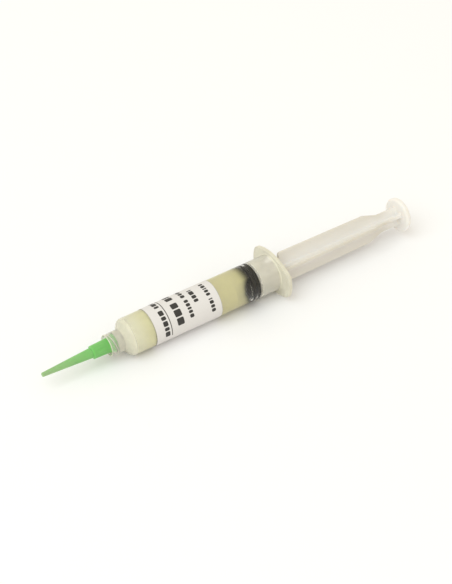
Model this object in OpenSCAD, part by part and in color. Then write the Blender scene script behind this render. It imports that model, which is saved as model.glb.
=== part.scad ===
// Flux syringe: a 10 ml three-part plastic syringe filled with gel flux, with a tapered dispensing tip.
// The axis of the syringe lies along X. The origin is the centre of the tip's outlet, +X points
// towards the thumb rest, and +Z is up. The wings of the finger flange lie level, along Y.

/* [Barrel] */
// Outside diameter of the barrel
barrel_od = 16.4; // [15.4:0.1:17.4]
// Thickness of the barrel's wall
barrel_wall = 0.9; // [0.7:0.05:1.1]
// From the root of the luer collar to the front of the finger flange
barrel_len = 75.4; // [72:0.2:80]
// Rise of the shoulder towards the rear, for each millimetre of radius
shoulder_rise = 0.69; // [0.4:0.01:0.8]
// Radius that blends the shoulder into the barrel
shoulder_round = 2.2; // [1.6:0.1:2.6]
// Distance from the shoulder's root to the flat end of the bore
front_wall = 0.3; // [0.2:0.05:0.5]

/* [Finger flange] */
// How far each wing of the flange stands out past the barrel
wing_reach = 5.4; // [4.5:0.1:7]
// How far the flange stands out past the barrel across its middle
flange_lip = 1; // [0.7:0.05:1.4]
// Radius of the flange's two long sides
flange_side_r = 23.6; // [20:0.2:30]
// Radius of the two wing ends
wing_end_r = 15.7; // [14:0.1:18]
// Radius of the rounds between the long sides and the wing ends
wing_corner = 3.4; // [2.4:0.1:4.4]
// Thickness of the flange
flange_t = 1.8; // [1.4:0.1:2.4]
// Fillet between the barrel and the flange
flange_fillet = 0.6; // [0.2:0.1:0.6]
// How far the retaining bead stands into the bore
bead_rise = 0.22; // [0.15:0.01:0.25]
// Radius of the retaining bead's section
bead_r = 0.5; // [0.35:0.05:0.55]
// From the rear of the flange to the middle of the bead
bead_inset = 3.6; // [3:0.1:6]

/* [Luer lock] */
// Length of the collar from its mouth to the shoulder's root
collar_len = 6.3; // [5.8:0.1:7]
// Outside diameter of the collar
collar_od = 9.4; // [9.2:0.1:10.4]
// Thickness of the collar's wall, at the crests of its fine thread
collar_wall = 0.65; // [0.55:0.05:0.7]
// Thickness of the collar's floor in front of the shoulder's root
collar_floor = 0.6; // [0.4:0.1:0.8]
// How far the male cone stands out of the collar
luer_out = 2.1; // [1.5:0.1:2.6]
// Diameter of the male cone at its end
luer_end_d = 3.95; // [3.92:0.01:4]
// Luer taper on the diameter
luer_taper = 0.06; // [0.05:0.01:0.07]
// Length of the male cone that the hub grips
grip_len = 5.8; // [5:0.1:6.4]
// Bore through the male cone
luer_bore_d = 2.1; // [1.6:0.1:2.4]

/* [Dispensing tip] */
// Length of the tip's cone, from the outlet to the hub
cone_len = 22.5; // [18:0.5:26]
// Diameter of the tip at its outlet
outlet_od = 1.8; // [1.5:0.1:2]
// Bore of the outlet, with straight walls
outlet_bore_d = 0.84; // [0.5:0.02:1]
// Length of the outlet's straight bore
outlet_land = 3; // [2:0.5:5]
// Diameter of the cone where it meets the hub
cone_root_d = 4.4; // [3.8:0.1:4.8]
// Bore of the cone where it opens into the hub
cone_root_bore_d = 2.9; // [2.4:0.1:3.2]
// Length of the hub that stands in front of the collar
hub_bare_len = 7.2; // [6:0.1:9]
// Diameter of the hub at its front
hub_front_d = 5.7; // [5.4:0.1:6]
// Diameter of the hub at its rear, inside the collar
hub_rear_d = 6.6; // [6.3:0.1:6.8]
// Number of grip flutes round the hub
hub_flutes = 8; // [6:1:12]
// Radius of the cutter that makes a flute
flute_r = 0.7; // [0.5:0.1:1]
// Depth of a flute
flute_depth = 0.16; // [0.1:0.02:0.24]
// From the front of the hub to the start of the flutes
flute_start = 0.8; // [0.4:0.1:1.5]
// Length of a flute
flute_len = 5.2; // [3:0.2:5.6]
// Height of the hub's lugs over its wall
lug_rise = 0.6; // [0.4:0.05:0.65]
// Thickness of a lug along the axis
lug_t = 1.1; // [0.8:0.1:1.4]
// Width of each of the two lugs round the hub
lug_w = 5; // [4:0.2:6]
// Depth of the hub's front wall behind its step
hub_wall = 1.6; // [1.2:0.1:2.2]
// Clearance between the male cone and the hub's socket
luer_gap = 0.02; // [0.01:0.01:0.05]

/* [Plunger] */
// From the rear of the flange to the rear face of the stopper
stopper_depth = 12; // [8:0.2:50]
// Gap between the stopper's ribs and the bore
seal_gap = 0.03; // [0.02:0.01:0.08]
// Length of the stopper's ribbed part
stopper_len = 4; // [3.6:0.1:6]
// Width of each seal rib
rib_w = 1.7; // [1.2:0.1:1.8]
// Chamfer on the rims of a seal rib
rib_ease = 0.25; // [0.1:0.05:0.4]
// Depth of the groove between the seal ribs
groove_depth = 0.55; // [0.3:0.05:0.8]
// How far the base of the nose lies inside the bore
nose_inset = 0.6; // [0.4:0.1:1]
// Diameter of the flat end of the nose
nose_flat_d = 4; // [3:0.2:5]
// Diameter of the rod's snap head
head_d = 6; // [5:0.1:6.4]
// Length of the snap head
head_len = 1.7; // [1.4:0.1:2]
// Diameter of the neck behind the snap head
head_neck_d = 3.8; // [3:0.1:4.2]
// Length of the neck behind the snap head
head_neck_len = 1.3; // [1:0.1:1.6]
// Clearance round the snap head in the stopper
head_gap = 0.05; // [0.03:0.01:0.1]

/* [Rod] */
// Gap between the bore and the disc that backs the stopper
backing_gap = 0.7; // [0.5:0.05:1.2]
// Thickness of the backing disc
backing_t = 1.6; // [1.2:0.1:2]
// Thickness of the rod's webs
web_t = 1.4; // [1.1:0.1:1.8]
// Gap between the bore and the rod's ribs at the backing disc
rib_gap = 0.35; // [0.3:0.05:0.8]
// How much narrower the rod is just before the taper to the neck
rod_draft = 1.1; // [0.4:0.1:2]
// Width of the broad web beside the stopper, where it is cut back
cut_back_w = 8.8; // [7:0.1:10]
// Length of the cut-back stretch, from the stopper to the wide part
cut_back_len = 15.6; // [12:0.1:18]
// Radius of the wide part's front corners
web_corner = 1.3; // [0.6:0.1:1.8]
// Length of the wide part
wide_len = 46.7; // [40:0.1:54]
// Length of the taper from the wide part to the neck
neck_taper = 7; // [5:0.5:9]
// Width over the ribs at the neck
neck_w = 8.35; // [7:0.05:9]
// Length of the neck from the taper to the thumb rest
neck_len = 10.4; // [8:0.2:14]
// Turn of the broad web from level
rod_turn = 58.5; // [0:0.5:90]

/* [Thumb rest] */
// Diameter of the thumb rest
thumb_d = 16.1; // [15:0.1:20]
// Thickness of the thumb rest
thumb_t = 2.6; // [2:0.1:3.4]
// Round of the thumb rest's edges
thumb_round = 1; // [0.5:0.1:1]
// Width of the chamfer where the webs meet the thumb rest
thumb_foot = 0.8; // [0.4:0.1:1.2]

/* [Label and flux] */
// From the shoulder's root to the front edge of the label
label_at = 12.8; // [8:0.2:16]
// Length of the label along the barrel
label_len = 32.1; // [26:0.2:36]
// Thickness of the paper label
label_t = 0.1; // [0.08:0.01:0.15]
// Width of the clear window between the label's ends
window_w = 5; // [3:0.5:10]
// Turn of the clear window about the axis, from straight down
window_turn = 42; // [0:2:90]
// Clearance of the flux from the walls round it
flux_gap = 0.03; // [0.02:0.01:0.06]
// Clearance of the flux from the stopper's nose
nose_gap = 0.1; // [0.05:0.05:0.3]

/* [Hidden] */
$fn = 96;
// Overlap of a cutter past the face that it cuts
past = 0.5;

// Radii
barrel_r = barrel_od / 2;
bore_r = barrel_r - barrel_wall;
collar_r = collar_od / 2;
backing_r = bore_r - backing_gap;
luer_end_r = luer_end_d / 2;
luer_bore_r = luer_bore_d / 2;
nose_r = bore_r - nose_inset;
rib_r = bore_r - seal_gap;

// Stations along the axis, from the outlet
hub_x = cone_len;
collar_x = hub_x + hub_bare_len;
root_x = collar_x + collar_len;
floor_x = root_x - collar_floor;
luer_x = collar_x - luer_out;
bore_x = root_x + front_wall;
flange_x = root_x + barrel_len;
mouth_x = flange_x + flange_t;
bead_x = mouth_x - bead_inset;
stopper_x = mouth_x - stopper_depth;
rib_x = stopper_x - stopper_len;
cut_back_x = stopper_x + cut_back_len;
wide_end_x = cut_back_x + wide_len;
neck_x = wide_end_x + neck_taper;
thumb_x = neck_x + neck_len;

// Shoulder: a shallow cone from the collar's root, blended into the barrel by an arc
slant = sqrt(1 + shoulder_rise * shoulder_rise);
arc_r = barrel_r - shoulder_round;
arc_x = root_x + shoulder_rise * (arc_r - collar_r) + shoulder_round * slant;

// Where an arc of this radius about the shoulder's centre leaves the cone, as [radius, station]
function leaves_cone(r) = [arc_r + r * shoulder_rise / slant, arc_x - r / slant];

hub_rear_x = luer_x + grip_len;
hub_len = hub_rear_x - hub_x;
hub_slope = atan((hub_rear_d - hub_front_d) / 2 / hub_len);
socket_x = hub_x + hub_wall;
socket_end_x = hub_rear_x + past;

// Radius of the male cone, and of the tip's own cone, at a station
function luer_at(x) = luer_end_r + luer_taper / 2 * (x - luer_x);
function cone_at(x) = (outlet_od + (cone_root_d - outlet_od) * x / cone_len) / 2;

// Snap head in the stopper
head_end_x = stopper_x - head_neck_len - head_len;

// Half width of the ribs, tapering evenly from the backing disc to the neck's taper
function rib_at(x) = bore_r - rib_gap - rod_draft / 2 * (x - stopper_x) / (wide_end_x - stopper_x);

// Nose of the stopper and the flux round it follow the same slope as the shoulder
nose_len = shoulder_rise * (nose_r - nose_flat_d / 2);
nose_x = rib_x - nose_len;

// Turns a profile drawn as [radius, station] about the X axis
module turned() {
    rotate([0, 90, 0])
        rotate_extrude()
            children();
}

// A straight or tapered round bar along X
module bar(x0, x1, r0, r1) {
    translate([x0, 0, 0])
        rotate([0, 90, 0])
            cylinder(h = x1 - x0, r1 = r0, r2 = r1);
}

// A disc profile from x0 to x1 whose two rims are rounded
module rounded_disc_profile(x0, x1, r, rim) {
    translate([0, x0])
        square([r - rim, x1 - x0]);
    translate([0, x0 + rim])
        square([r, x1 - x0 - 2 * rim]);
    for (x = [x0 + rim, x1 - rim])
        translate([r - rim, x])
            circle(rim);
}

// Body behind the shoulder: r_side is its side, round the radius of its corner, front its first station
module shoulder_profile(r_side, corner, front_r, front) {
    polygon([
        [0, front],
        [front_r, front],
        leaves_cone(corner),
        [arc_r, arc_x],
        [r_side, arc_x],
        [r_side, mouth_x],
        [0, mouth_x]
    ]);
    translate([arc_r, arc_x])
        circle(corner);
}

// Outside of the barrel, from the collar's floor to the mouth
module barrel_outside() {
    shoulder_profile(barrel_r, shoulder_round, collar_r, root_x);
    translate([0, floor_x])
        square([collar_r, root_x - floor_x]);
}

// Radius at which the bore's flat end meets its cone
function flat_end_r(inset, front) =
    collar_r + (front - root_x - (barrel_wall + inset) * slant) / shoulder_rise;

// Bore of the barrel, or the flux in it when inset is the gap round the flux
module bore_profile(inset, front) {
    corner = shoulder_round - barrel_wall - inset;
    shoulder_profile(bore_r - inset, corner, flat_end_r(inset, front), front);
}

// Where circles about a and b meet, on the right of the way from a to b
function meeting(a, r_a, b, r_b) =
    let (
        apart = norm(b - a),
        way = (b - a) / apart,
        along = (r_a * r_a - r_b * r_b + apart * apart) / (2 * apart)
    )
    a + along * way + sqrt(r_a * r_a - along * along) * [way[1], -way[0]];

// What two equal circles about middle and about its mirror image share, inside a rectangle
module shared_by_circles(middle, r, rectangle) {
    intersection() {
        translate(middle)
            circle(r, $fn = 240);
        translate(-middle)
            circle(r, $fn = 240);
        square(rectangle, center = true);
    }
}

// Outline of the finger flange: two long sides and two wing ends, all arcs, with rounds between them
module flange_outline() {
    side = [0, barrel_r + flange_lip - flange_side_r];
    end = [barrel_r + wing_reach - wing_end_r, 0];
    to_side = flange_side_r - wing_corner;
    to_end = wing_end_r - wing_corner;
    corner = meeting(side, to_side, end, to_end);
    side_touch = side + (corner - side) * flange_side_r / to_side;
    end_touch = end + (corner - end) * wing_end_r / to_end;
    shared_by_circles(side, flange_side_r, [2 * side_touch[0], 2 * flange_side_r]);
    shared_by_circles(end, wing_end_r, [2 * wing_end_r, 2 * end_touch[1]]);
    for (y = [-1, 1], z = [-1, 1])
        translate([y * corner[0], z * corner[1]])
            circle(wing_corner);
}

module flange_plate() {
    translate([flange_x, 0, 0])
        rotate([90, 0, 90])
            linear_extrude(flange_t)
                flange_outline();
}

module flange_fillet_ring() {
    turned()
        difference() {
            translate([barrel_r - barrel_wall / 2, flange_x - flange_fillet])
                square([barrel_wall / 2 + flange_fillet, flange_fillet]);
            translate([barrel_r + flange_fillet, flange_x - flange_fillet])
                circle(flange_fillet);
        }
}

module retaining_bead() {
    turned()
        translate([bore_r - bead_rise + bead_r, bead_x])
            circle(bead_r);
}

module luer_nose() {
    difference() {
        bar(collar_x, floor_x + collar_floor / 2, collar_r, collar_r);
        bar(collar_x - past, floor_x, collar_r - collar_wall, collar_r - collar_wall);
    }
    bar(luer_x, floor_x + collar_floor / 2, luer_end_r, luer_at(floor_x + collar_floor / 2));
}

module barrel() {
    color([0.9, 0.89, 0.83, 0.45])
        union() {
            difference() {
                union() {
                    turned()
                        barrel_outside();
                    flange_plate();
                    flange_fillet_ring();
                    luer_nose();
                }
                turned()
                    bore_profile(0, bore_x);
                bar(mouth_x - past, mouth_x + past, bore_r, bore_r);
                bar(luer_x - past, bore_x + past, luer_bore_r, luer_bore_r);
            }
            retaining_bead();
        }
}

// Paper label round the barrel, with a clear window between its two ends
module label() {
    window_half = window_w / 2 / barrel_r * 180 / PI;
    color("white")
        translate([root_x + label_at, 0, 0])
            rotate([0, 90, 0])
                difference() {
                    cylinder(h = label_len, r = barrel_r + label_t);
                    translate([0, 0, -past])
                        cylinder(h = label_len + 2 * past, r = barrel_r);
                    rotate([0, 0, window_turn])
                        translate([0, 0, -past])
                            linear_extrude(label_len + 2 * past)
                                polygon([
                                    [0, 0],
                                    [barrel_od, -barrel_od * tan(window_half)],
                                    [barrel_od, barrel_od * tan(window_half)]
                                ]);
                }
}

// Nose of the stopper, which starts the ribbed part, or the hollow for it in the flux when grow is the gap
module nose_profile(grow) {
    polygon([
        [0, nose_x - grow],
        [nose_flat_d / 2, nose_x - grow],
        [nose_r, rib_x - grow],
        [nose_r + grow, rib_x + rib_w / 2],
        [0, rib_x + rib_w / 2]
    ]);
}

module flux_gel() {
    color([0.88, 0.86, 0.6])
        union() {
            turned()
                difference() {
                    bore_profile(flux_gap, bore_x + flux_gap);
                    translate([0, rib_x - nose_gap])
                        square([barrel_r, mouth_x]);
                    nose_profile(nose_gap);
                }
            bar(luer_x, bore_x + 2 * flux_gap, luer_bore_r - flux_gap, luer_bore_r - flux_gap);
        }
}

// Snap head and its neck, in front of the backing disc, or the socket for them when gap is its clearance
module head_profile(gap) {
    translate([0, stopper_x - head_neck_len - past])
        square([head_neck_d / 2 + gap, head_neck_len + 2 * past]);
    polygon([
        [0, head_end_x - gap],
        [head_neck_d / 2 + gap, head_end_x - gap],
        [head_d / 2 + gap, head_end_x + head_len / 2],
        [head_d / 2 + gap, stopper_x - head_neck_len + gap],
        [0, stopper_x - head_neck_len + gap]
    ]);
}

// Section of one seal rib, with its rims eased
module eased_rib(x) {
    polygon([
        [0, x],
        [rib_r - rib_ease, x],
        [rib_r, x + rib_ease],
        [rib_r, x + rib_w - rib_ease],
        [rib_r - rib_ease, x + rib_w],
        [0, x + rib_w]
    ]);
}

module stopper() {
    color([0.19, 0.18, 0.17])
        turned()
            difference() {
                union() {
                    nose_profile(0);
                    translate([0, rib_x + rib_w / 2])
                        square([rib_r - groove_depth, stopper_len - rib_w]);
                    for (x = [rib_x, stopper_x - rib_w])
                        eased_rib(x);
                }
                head_profile(head_gap);
            }
}

// A flat web through the axis, in the XY plane, drawn as [station, half width]
module web(outline) {
    translate([0, 0, -web_t / 2])
        linear_extrude(web_t)
            polygon(outline);
}

// Rib that keeps its full width from the backing disc to the neck, mirrored about the axis
module deep_web() {
    front = stopper_x + backing_t / 2;
    web([
        [front, -rib_at(front)],
        [wide_end_x, -rib_at(wide_end_x)],
        [neck_x, -neck_w / 2],
        [thumb_x + thumb_t / 2, -neck_w / 2],
        [thumb_x + thumb_t / 2, neck_w / 2],
        [neck_x, neck_w / 2],
        [wide_end_x, rib_at(wide_end_x)],
        [front, rib_at(front)]
    ]);
}

// Broad web, cut back beside the stopper, with rounded front corners on the wide part
module broad_web() {
    front = stopper_x + backing_t / 2;
    corner_y = rib_at(cut_back_x + web_corner) - web_corner;
    web([
        [front, -cut_back_w / 2],
        [cut_back_x, -cut_back_w / 2],
        [cut_back_x, -corner_y],
        [cut_back_x + web_corner, -corner_y],
        [cut_back_x + web_corner, -corner_y - web_corner],
        [wide_end_x, -rib_at(wide_end_x)],
        [neck_x, -neck_w / 2],
        [thumb_x + thumb_t / 2, -neck_w / 2],
        [thumb_x + thumb_t / 2, neck_w / 2],
        [neck_x, neck_w / 2],
        [wide_end_x, rib_at(wide_end_x)],
        [cut_back_x + web_corner, corner_y + web_corner],
        [cut_back_x + web_corner, corner_y],
        [cut_back_x, corner_y],
        [cut_back_x, cut_back_w / 2],
        [front, cut_back_w / 2]
    ]);
    for (side = [-1, 1])
        translate([cut_back_x + web_corner, side * corner_y, -web_t / 2])
            cylinder(h = web_t, r = web_corner);
}

// Chamfered foot on which a web stands on the thumb rest
module web_foot() {
    half_t = web_t / 2;
    translate([0, neck_w / 2, 0])
        rotate([90, 0, 0])
            linear_extrude(neck_w)
                polygon([
                    [thumb_x - thumb_foot, half_t],
                    [thumb_x - thumb_foot, -half_t],
                    [thumb_x, -half_t - thumb_foot],
                    [thumb_x + thumb_round, -half_t - thumb_foot],
                    [thumb_x + thumb_round, half_t + thumb_foot],
                    [thumb_x, half_t + thumb_foot]
                ]);
}

module plunger_rod() {
    color([0.93, 0.92, 0.87])
        union() {
            turned() {
                head_profile(0);
                rounded_disc_profile(thumb_x, thumb_x + thumb_t, thumb_d / 2, thumb_round);
            }
            bar(stopper_x, stopper_x + backing_t, backing_r, backing_r);
            rotate([rod_turn, 0, 0]) {
                broad_web();
                web_foot();
                rotate([90, 0, 0]) {
                    deep_web();
                    web_foot();
                }
            }
        }
}

module hub_outside() {
    bar(hub_x, hub_rear_x, hub_front_d / 2, hub_rear_d / 2);
    intersection() {
        bar(hub_rear_x - lug_t, hub_rear_x, hub_rear_d / 2 + lug_rise, hub_rear_d / 2 + lug_rise);
        translate([hub_rear_x - lug_t, -lug_w / 2, -barrel_r])
            cube([lug_t, lug_w, barrel_od]);
    }
}

module dispensing_tip() {
    color([0.3, 0.68, 0.22])
        difference() {
            union() {
                bar(0, hub_x + hub_wall / 2, cone_at(0), cone_at(hub_x + hub_wall / 2));
                hub_outside();
            }
            bar(-past, outlet_land, outlet_bore_d / 2, outlet_bore_d / 2);
            bar(outlet_land, socket_x, outlet_bore_d / 2, cone_root_bore_d / 2);
            bar(socket_x, socket_end_x, luer_at(socket_x) + luer_gap, luer_at(socket_end_x) + luer_gap);
            for (i = [0 : hub_flutes - 1])
                rotate([(i + 0.5) * 360 / hub_flutes, 0, 0])
                    translate([hub_x, 0, hub_front_d / 2 + flute_r - flute_depth])
                        rotate([0, -hub_slope, 0])
                            bar(flute_start, flute_start + flute_len, flute_r, flute_r);
        }
}

barrel();
label();
flux_gel();
stopper();
plunger_rod();
dispensing_tip();
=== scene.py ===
"""Looks of a flux syringe: barrel, gel flux, paper label, stopper, plunger rod and dispensing tip.

Sizes are in millimetres along the syringe's axis X, from the centre of the tip's outlet, and radii
are taken from that axis. A mesh is made in metres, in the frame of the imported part.
"""
import math

import bpy
import numpy as np
from mathutils import Matrix, Vector


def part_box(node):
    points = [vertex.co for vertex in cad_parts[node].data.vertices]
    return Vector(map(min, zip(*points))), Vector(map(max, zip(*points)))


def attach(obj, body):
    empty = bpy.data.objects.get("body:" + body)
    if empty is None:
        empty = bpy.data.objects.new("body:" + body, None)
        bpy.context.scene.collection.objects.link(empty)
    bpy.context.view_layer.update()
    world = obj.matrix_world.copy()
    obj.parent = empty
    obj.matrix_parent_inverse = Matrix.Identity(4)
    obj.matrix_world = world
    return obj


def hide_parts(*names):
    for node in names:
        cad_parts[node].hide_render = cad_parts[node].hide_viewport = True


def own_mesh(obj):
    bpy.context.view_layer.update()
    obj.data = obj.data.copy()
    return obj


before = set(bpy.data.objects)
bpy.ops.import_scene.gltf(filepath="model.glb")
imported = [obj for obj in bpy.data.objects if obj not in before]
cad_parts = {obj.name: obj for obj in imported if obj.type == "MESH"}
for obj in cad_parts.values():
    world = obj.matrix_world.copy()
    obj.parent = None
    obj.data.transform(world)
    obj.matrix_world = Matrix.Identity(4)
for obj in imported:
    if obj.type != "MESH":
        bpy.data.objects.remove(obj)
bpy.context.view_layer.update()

MM = 0.001
NODES = ("barrel", "label", "flux_gel", "stopper", "plunger_rod", "dispensing_tip")
BOX = {name: np.array(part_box(name)) / MM for name in NODES}

# The stopper's ribs stand this far out of their solid, and the flux reaches this far into the barrel's
# wall, so that no air shows between them
PRESS_IN = 0.06

# Stations and radii that the frame gives
LUER_X, MOUTH_X = BOX["barrel"][:, 0]
WING_R = BOX["barrel"][1, 1]
FLANGE_R = BOX["barrel"][1, 2]
LABEL_X0, LABEL_X1 = BOX["label"][:, 0]
LABEL_R = BOX["label"][1, 1]
NOSE_X, STOPPER_X = BOX["stopper"][:, 0]
RIB_R = BOX["stopper"][1, 1] + PRESS_IN
THUMB_END_X = BOX["plunger_rod"][1, 0]
HUB_REAR_X = BOX["dispensing_tip"][1, 0]

# Steps round the barrel and the flux in it, and round the smaller turned pieces
RING = 256
SMALL_RING = 192

# Edges of a piece that are sharper than this stay sharp
CREASE = math.radians(35)

# Barrel
BARREL_R = 8.2
WALL = 0.9
BORE_R = BARREL_R - WALL
FLANGE_T = 1.8
FLANGE_X = MOUTH_X - FLANGE_T
SIDE_ARC_R = 23.6
WING_ARC_R = 15.7
WING_CORNER = 3.4
RIM_ROUND = 0.3
FLANGE_FILLET = 0.6
SHOULDER_RISE = 0.69
SHOULDER_ROUND = 2.2
BEAD_X = MOUTH_X - 3.6
BEAD_R = 0.5
BEAD_RISE = 0.22
COLLAR_R = 4.7
COLLAR_BORE_R = 4.05
COLLAR_LEN = 6.3
COLLAR_X = LUER_X + 2.1
ROOT_X = COLLAR_X + COLLAR_LEN
FLOOR_X = ROOT_X - 0.6
BORE_X = ROOT_X + 0.3
LUER_END_R = 1.975
LUER_SLOPE = 0.03
LUER_BORE_R = 1.05

# The shoulder: its slanted length for each 1 of radius, the station at which its cone would meet the
# barrel's side, and the station at which its round ends
SLANT = math.sqrt(1 + SHOULDER_RISE**2)
SHOULDER_X = ROOT_X + SHOULDER_RISE * (BARREL_R - COLLAR_R)
SHOULDER_END_X = SHOULDER_X + SHOULDER_ROUND * (SLANT - SHOULDER_RISE)

# The front of the bore: the radius at which its flat end meets the cone that runs one wall inside the
# shoulder, the station at which that cone would meet the bore's side, and the round between the two
BORE_CORNER_R = COLLAR_R + (BORE_X - ROOT_X - WALL * SLANT) / SHOULDER_RISE
BORE_CONE_X = BORE_X + SHOULDER_RISE * (BORE_R - BORE_CORNER_R)
BORE_ROUND = SHOULDER_ROUND - WALL

# The thread in the collar: half widths of a ridge at its crest and its foot, and the ends of the thread
THREAD_LEAD = 5
THREAD_STARTS = 2
THREAD_DEPTH = 0.22
THREAD_CREST = 0.25
THREAD_FOOT = 0.55
THREAD_FADE = 0.5
THREAD_ROOT_R = COLLAR_BORE_R + THREAD_DEPTH
THREAD_X0 = COLLAR_X + 0.4
THREAD_X1 = HUB_REAR_X - 0.2

# Milky share of the barrel's wall, by zone. The share of the thread is added to that of the wall under it
HAZE_COLLAR = 0.24
HAZE_THREAD = 0.5
HAZE_CONE = 0.9
HAZE_RIM = 0.63
HAZE_ROOT = 0.45
HAZE_SHOULDER = 0.36
HAZE_FLUX = 0.12
HAZE_EMPTY = 0.5
HAZE_FLANGE = 0.85
CLEAR = 0

# Stopper: the front rib starts at RIB_X, with its front edge eased
RIB_W = 1.7
RIB_EASE = 0.25
RIB_X = STOPPER_X - 4
GROOVE_R = RIB_R - 0.55
NOSE_R = BORE_R - 0.6
NOSE_FLAT_R = 2

# Snap head of the rod. The stopper's socket is larger by HEAD_GAP on every side
HEAD_R = 3
HEAD_NECK_R = 1.9
HEAD_LEN = 1.7
HEAD_NECK_LEN = 1.3
HEAD_X = STOPPER_X - HEAD_NECK_LEN - HEAD_LEN
HEAD_GAP = 0.05

# Rod: backing disc, crossed webs that clear the bore by WEB_GAP and grow narrower by ROD_DRAFT, a broad web
# that is cut back behind the disc, a neck, and the thumb rest
BACKING_R = BORE_R - 0.7
BACKING_T = 1.6
WEB_T = 1.4
WEB_TIP_ROUND = 0.3
WEB_ROOT_ROUND = 0.45
WEB_GAP = 0.35
ROD_DRAFT = 1.1
CUT_BACK_W = 8.8
CUT_BACK_X = STOPPER_X + 15.6
WEB_CORNER = 1.3
WIDE_END_X = CUT_BACK_X + 46.7
NECK_X = WIDE_END_X + 7
NECK_W = 8.35
THUMB_R = 8.05
THUMB_T = 2.6
THUMB_X = THUMB_END_X - THUMB_T
WEB_FOOT = 0.8
ROD_TURN = math.radians(58.5)
OUTLINE_STEPS = 13

# The webs are darkened on an outer band, WEB_SHADE_BAND wide and fading over WEB_SHADE_FADE, as painted
# shade.
# Their tone turns into that of the thumb rest over the last TONE_REACH
WEB_SHADE_BAND = 0.5
WEB_SHADE_FADE = 0.4
TONE_REACH = 2

# Dispensing tip. Its flutes run from FLUTE_X0 to FLUTE_X1, and its two lugs stand out at the hub's rear
HUB_X = 22.5
HUB_FRONT_R = 2.85
HUB_REAR_R = 3.3
CONE_END_R = 0.9
CONE_ROOT_R = 2.2
OUTLET_R = 0.42
OUTLET_LAND = 3
CONE_ROOT_BORE_R = 1.45
HUB_WALL = 1.6
SOCKET_GAP = 0.02
HUB_FLUTES = 8
FLUTE_DEPTH = 0.16
FLUTE_HALF = math.radians(9.5)
FLUTE_X0 = HUB_X + 0.8
FLUTE_X1 = FLUTE_X0 + 5.2
FLUTE_FADE = 0.5
LUG_T = 1.1
LUG_W = 5
LUG_R = HUB_REAR_R + 0.6

# Label: its clear window is centred on WINDOW_TURN from +Y towards +Z. Ink reaches INK_T out of the paper
# and as far into it. PAPER_EDGE and INK_EDGE are the bands along the front and the rear edge of each
WINDOW_TURN = math.radians(270 + 42)
WINDOW_W = 5
LABEL_CORNER = 1.2
PAPER_EDGE = 0.12
INK_EDGE = 0.02
INK_T = 0.015

# Print: rows of blocks, each with its station behind the label's front edge, its height, the angle of its
# start, the gap between blocks, how fine its print is, and the blocks' widths. A negative width is a space
PRINT_ROWS = [
    (5.2, 2.2, 187, 0.5, 0.75, [2.6, 1.5, 2.2, 1.6, 2.4, -0.8, 1.3, 2.7, 1.8, 2.2, 1.6, 2.6]),
    (7.3, 0.36, 190, 0, 0, [26]),
    (12, 3.2, 166, 0.6, 0, [3.2, 3, 2.6, -0.9, 2.4, 2.6, 3.1, 2.2]),
    (17.6, 1.9, 159, 0.42, 0.45, [1.6, 1.2, 0.9, 1.4, 1.3, -0.6, 1.6, 1.5, 1.7, 1.4, 1.2]),
    (21.8, 2.1, 122, 0.4, 0.1, [1.3, 1.6, 2.3, 0.7]),
    (27.9, 1.9, 171, 0.45, 0.5, [1.5, 1.3, 1.4, 0.5, -0.5, 1.2, 1.2, 0.6, 1.5, 1.3]),
]

# Flux: the front layer, the column, and the tail, which the column hides but for its last TAIL_SHOWN.
# The tail's end starts TAIL_EDGE inside its side, and lies NOSE_GAP in front of the stopper's nose
FLUX_R = BORE_R + PRESS_IN
FRONT_LAYER = 0.2
FRONT_END_X = ROOT_X + 3.65
COLUMN_BORE_R = NOSE_R + 0.1
TAIL_R = FLUX_R - 0.02
TAIL_LEN = 28.5
TAIL_SHOWN = 8
TAIL_EDGE = 0.15
NOSE_GAP = 0.1

# The air pocket in front of the stopper: the turn of its middle, how far it runs round the barrel from
# there, above and below, and its depth
POCKET_TURN = math.radians(157)
POCKET_ABOVE = math.radians(38)
POCKET_BELOW = math.radians(62)
POCKET_DEPTH = 3.3

# Bubbles in the pocket, BUBBLE_DEPTH from the wall: turn in degrees, distance in front of the rib, radius
BUBBLE_DEPTH = 0.25
BUBBLES = [
    (144, 0.75, 0.13),
    (153, 0.5, 0.2),
    (161, 0.65, 0.15),
    (168, 0.45, 0.19),
    (176, 0.7, 0.15),
    (184, 0.5, 0.17),
]

# Painted shade and light of the flux: it falls from PALE_SHADE, painted light on the shoulder that also
# stands in for its milky wall, to 1 over PALE_REACH, and from DARKEN_FROM on it also falls to REAR_SHADE
# over
# DARKEN_REACH as painted shade. Near the stopper it drops twice, each time by a share of itself over a
# reach, as painted shade where the black stopper takes the light. The dark reach is shorter by POCKET_EDGE
# for each 1 of the pocket's depth. The tail's end has END_SHADE, painted shade in the nose's hollow and
# pocket
PALE_SHADE = 2
REAR_SHADE = 0.84
PALE_REACH = 10
DARKEN_FROM = 5
DARKEN_REACH = 38
DARK_DROP = 0.97
DARK_REACH = 2.3
DIM_DROP = 0.35
DIM_REACH = 4
POCKET_EDGE = 0.35
END_SHADE = 0.1

# The photograph: its height in pixels, angles and distance of the camera, its focal length in pixels, and
# the point on which the picture is centred
PHOTO_H = 584
CAMERA_TURN = math.radians(33.55)
CAMERA_DROP = math.radians(42.75)
CAMERA_FAR = 559.8
FOCAL_PX = 1313.4
AIM = (88.14, 0.13, 0)


def linear(r, g, b):
    """Scene-linear colour of an 8-bit display colour, by the display's standard curve."""
    c = np.array([r, g, b]) / 255
    return tuple(np.where(c <= 0.04045, c / 12.92, ((c + 0.055) / 1.055) ** 2.4))


def smooth(t):
    """Smooth step from 0 to 1 while t goes from 0 to 1."""
    t = np.clip(t, 0, 1)
    return t * t * (3 - 2 * t)


# Camera, light and floor

def facing(place, direction):
    """Placement at a point, in metres, with -Z along a direction and Y turned upwards."""
    return Matrix.Translation(place) @ direction.to_track_quat("-Z", "Y").to_matrix().to_4x4()


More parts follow.
